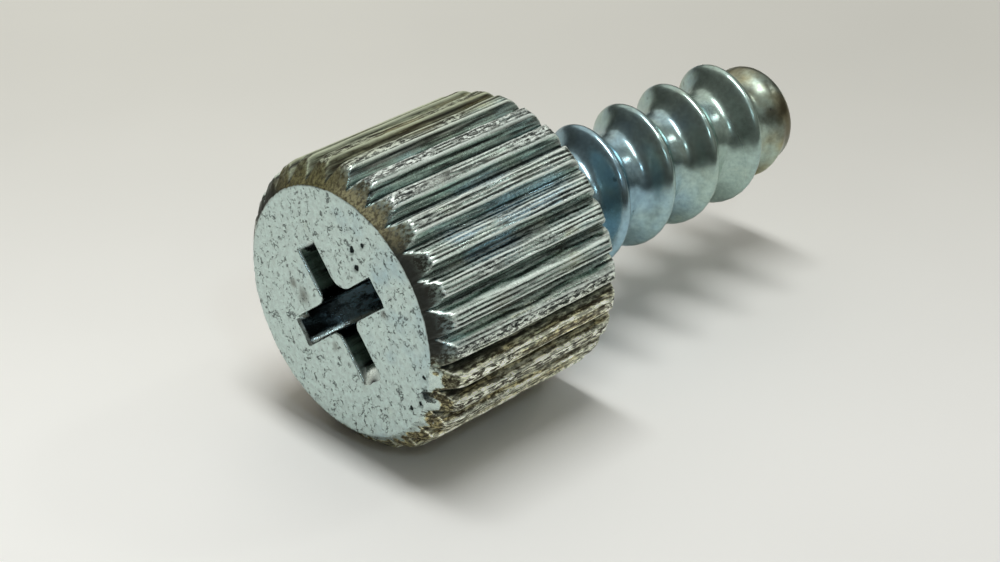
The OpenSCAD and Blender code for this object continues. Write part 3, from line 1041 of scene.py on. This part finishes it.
def paper_finish(stage):
    """Plain pale paper with a faint tooth, drawn darker far behind the screw and towards the right as painted falloff
    of the light.
    """
    material, tree, shader = new_finish("pale_paper", metallic=0.0)
    place = object_place(tree)
    cloud = remap(tree, grain(tree, place, 40.0, 3.0), 0.3, 0.7, 0.98, 1.02)
    apart = node(tree, "ShaderNodeSeparateXYZ", {0: place}).outputs
    # painted light: the paper darkens far behind the screw and towards the right
    depth = calc(tree, "ADD", apart[0], apart[1])
    base = blend(tree, remap(tree, depth, -0.022, 0.04), colour(stage.paper), colour(stage.far_paper_shade))
    across = remap(tree, calc(tree, "SUBTRACT", apart[0], apart[1]), -0.03, 0.03, 1.1, 0.94)
    base = blend(tree, 1.0, base, across, "MULTIPLY")
    tree.links.new(blend(tree, 1.0, base, cloud, "MULTIPLY"), shader.inputs["Base Color"])
    shader.inputs["Roughness"].default_value = 0.85
    shader.inputs["Specular IOR Level"].default_value = 0.15
    tree.links.new(bump(tree, grain(tree, place, 2600.0, 3.0), 0.05, 0.00003), shader.inputs["Normal"])
    return material


def linked(name, data):
    """An object in the scene."""
    made = bpy.data.objects.new(name, data)
    bpy.context.scene.collection.objects.link(made)
    return made


class THUMB_SCREW_OT_body(bpy.types.Operator):
    """Build the screw in its zinc finish, in place of the plain solid"""

    bl_idname = "thumb_screw.body"
    bl_label = "Screw"

    def execute(self, context):
        finish = context.scene.screw_finish
        groups = {
            "mottle": mottle_group(finish),
            "flecks": flecks_group(),
            "pits": pits_group(),
            "streak": streak_group(),
            "tarnish": tarnish_group(),
        }
        screw = linked("thumb_screw_body", screw_mesh(context.scene.screw_sizes, finish))
        for make in (face_finish, knurl_finish, recess_finish, shank_finish):
            screw.data.materials.append(make(finish, groups))
        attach(screw, "root")
        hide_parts("thumb_screw")
        return {"FINISHED"}


CAMERA_PLACE = (-49.884, -49.534, 41.871)
CAMERA_TURN = (60.4247, 1.2533, -44.1182)
CAMERA_LENS, CAMERA_SENSOR = 84.66, 36
CAMERA_CLIP = (0.001, 10)
FLOOR_HALF = 0.6
# lamps: name, place, target, width or width and length, tint; lengths in millimetres
LAMPS = (
    ("main", (8, 10, 320), (8, 10, 0), (40, 210), (0.99, 1.0, 0.985)),
    ("key", (268, -108, 280), (0, 0, 4), (40,), (1.0, 0.98, 0.94)),
    ("cool", (-106, -243, 275), (0, 0, 4), (40,), (0.72, 0.9, 1.0)),
    ("soft", (105, 205, 240), (0, 0, 0), (380,), (1.0, 0.95, 0.88)),
)
# colours of the room from the level of the floor up to straight overhead
ROOM_STOPS = (
    (0.0, (0.073, 0.07, 0.062)),
    (0.15, (0.125, 0.123, 0.108)),
    (0.45, (0.415, 0.4, 0.365)),
    (1.0, (0.52, 0.5, 0.455)),
)


def lamp(name, place, target, extent, power, tint):
    """A soft area lamp that points at a target: round, or a strip along Y where it has a length too."""
    data = bpy.data.lights.new(name, "AREA")
    data.shape = "RECTANGLE" if len(extent) > 1 else "DISK"
    data.size = extent[0] * MM
    if len(extent) > 1:
        data.size_y = extent[1] * MM
    data.energy = power
    data.color = tint
    made = linked(name, data)
    made.location = Vector(place) * MM
    made.rotation_euler = (Vector(target) - Vector(place)).to_track_quat("-Z", "Y").to_euler()
    return made


def room_light(strength):
    """A dim room with a pale ceiling, as the world."""
    world = bpy.data.worlds.new("room")
    world.use_nodes = True
    tree = world.node_tree
    way = node(tree, "ShaderNodeSeparateXYZ", {0: node(tree, "ShaderNodeTexCoord").outputs["Generated"]}).outputs
    ramp = node(tree, "ShaderNodeValToRGB", {0: way[2]})
    stops = ramp.color_ramp.elements
    for stop, (at, tint) in zip(stops, (ROOM_STOPS[0], ROOM_STOPS[-1])):
        stop.position, stop.color = at, colour(tint)
    for at, tint in ROOM_STOPS[1:-1]:
        stops.new(at).color = colour(tint)
    side = remap(tree, way[0], -0.7, 0.5, 0.42, 1.2)
    back = tree.nodes["Background"]
    tree.links.new(blend(tree, 1.0, ramp.outputs[0], side, "MULTIPLY"), back.inputs["Color"])
    back.inputs["Strength"].default_value = strength
    return world


class THUMB_SCREW_OT_stage(bpy.types.Operator):
    """Lay the paper and place the lamps and the camera"""

    bl_idname = "thumb_screw.stage"
    bl_label = "Stage"

    def execute(self, context):
        stage = context.scene.screw_stage
        h = FLOOR_HALF
        mesh = bpy.data.meshes.new("paper")
        mesh.from_pydata([(-h, -h, 0), (h, -h, 0), (h, h, 0), (-h, h, 0)], [], [(0, 1, 2, 3)])
        mesh.materials.append(paper_finish(stage))
        linked("paper", mesh)
        context.scene.world = room_light(stage.room_strength)
        for name, place, target, extent, tint in LAMPS:
            lamp(name + "_lamp", place, target, extent, getattr(stage, name + "_power"), tint)
        camera = linked("camera", bpy.data.cameras.new("camera"))
        camera.location = Vector(CAMERA_PLACE) * MM
        camera.rotation_euler = Euler([math.radians(a) for a in CAMERA_TURN])
        camera.data.lens = CAMERA_LENS
        camera.data.sensor_width = CAMERA_SENSOR
        camera.data.clip_start, camera.data.clip_end = CAMERA_CLIP
        context.scene.camera = camera
        context.scene.view_settings.view_transform = "Standard"
        return {"FINISHED"}


class VIEW3D_PT_thumb_screw(bpy.types.Panel):
    """Lists the screw's sizes, finish and stage, and builds them"""

    bl_label = "Thumb Screw"
    bl_space_type = "VIEW_3D"
    bl_region_type = "UI"
    bl_category = "Thumb Screw"

    def draw(self, context):
        scene = context.scene
        for props in (scene.screw_sizes, scene.screw_finish, scene.screw_stage):
            box = self.layout.box()
            for name in props.__annotations__:
                box.prop(props, name)
        self.layout.operator(THUMB_SCREW_OT_body.bl_idname)
        self.layout.operator(THUMB_SCREW_OT_stage.bl_idname)


CLASSES = (
    ScrewSizes, ScrewFinish, ScrewStage, THUMB_SCREW_OT_body, THUMB_SCREW_OT_stage, VIEW3D_PT_thumb_screw
)
POINTERS = {"screw_sizes": ScrewSizes, "screw_finish": ScrewFinish, "screw_stage": ScrewStage}


def register():
    """Adds the classes and the scene's properties."""
    for cls in CLASSES:
        bpy.utils.register_class(cls)
    for name, group in POINTERS.items():
        setattr(bpy.types.Scene, name, PointerProperty(type=group))


def unregister():
    """Takes the properties and the classes out again."""
    for name in POINTERS:
        delattr(bpy.types.Scene, name)
    for cls in reversed(CLASSES):
        bpy.utils.unregister_class(cls)


def main():
    """Builds the screw and its stage."""
    register()
    bpy.ops.thumb_screw.body()
    bpy.ops.thumb_screw.stage()


if __name__ == "__main__":
    main()
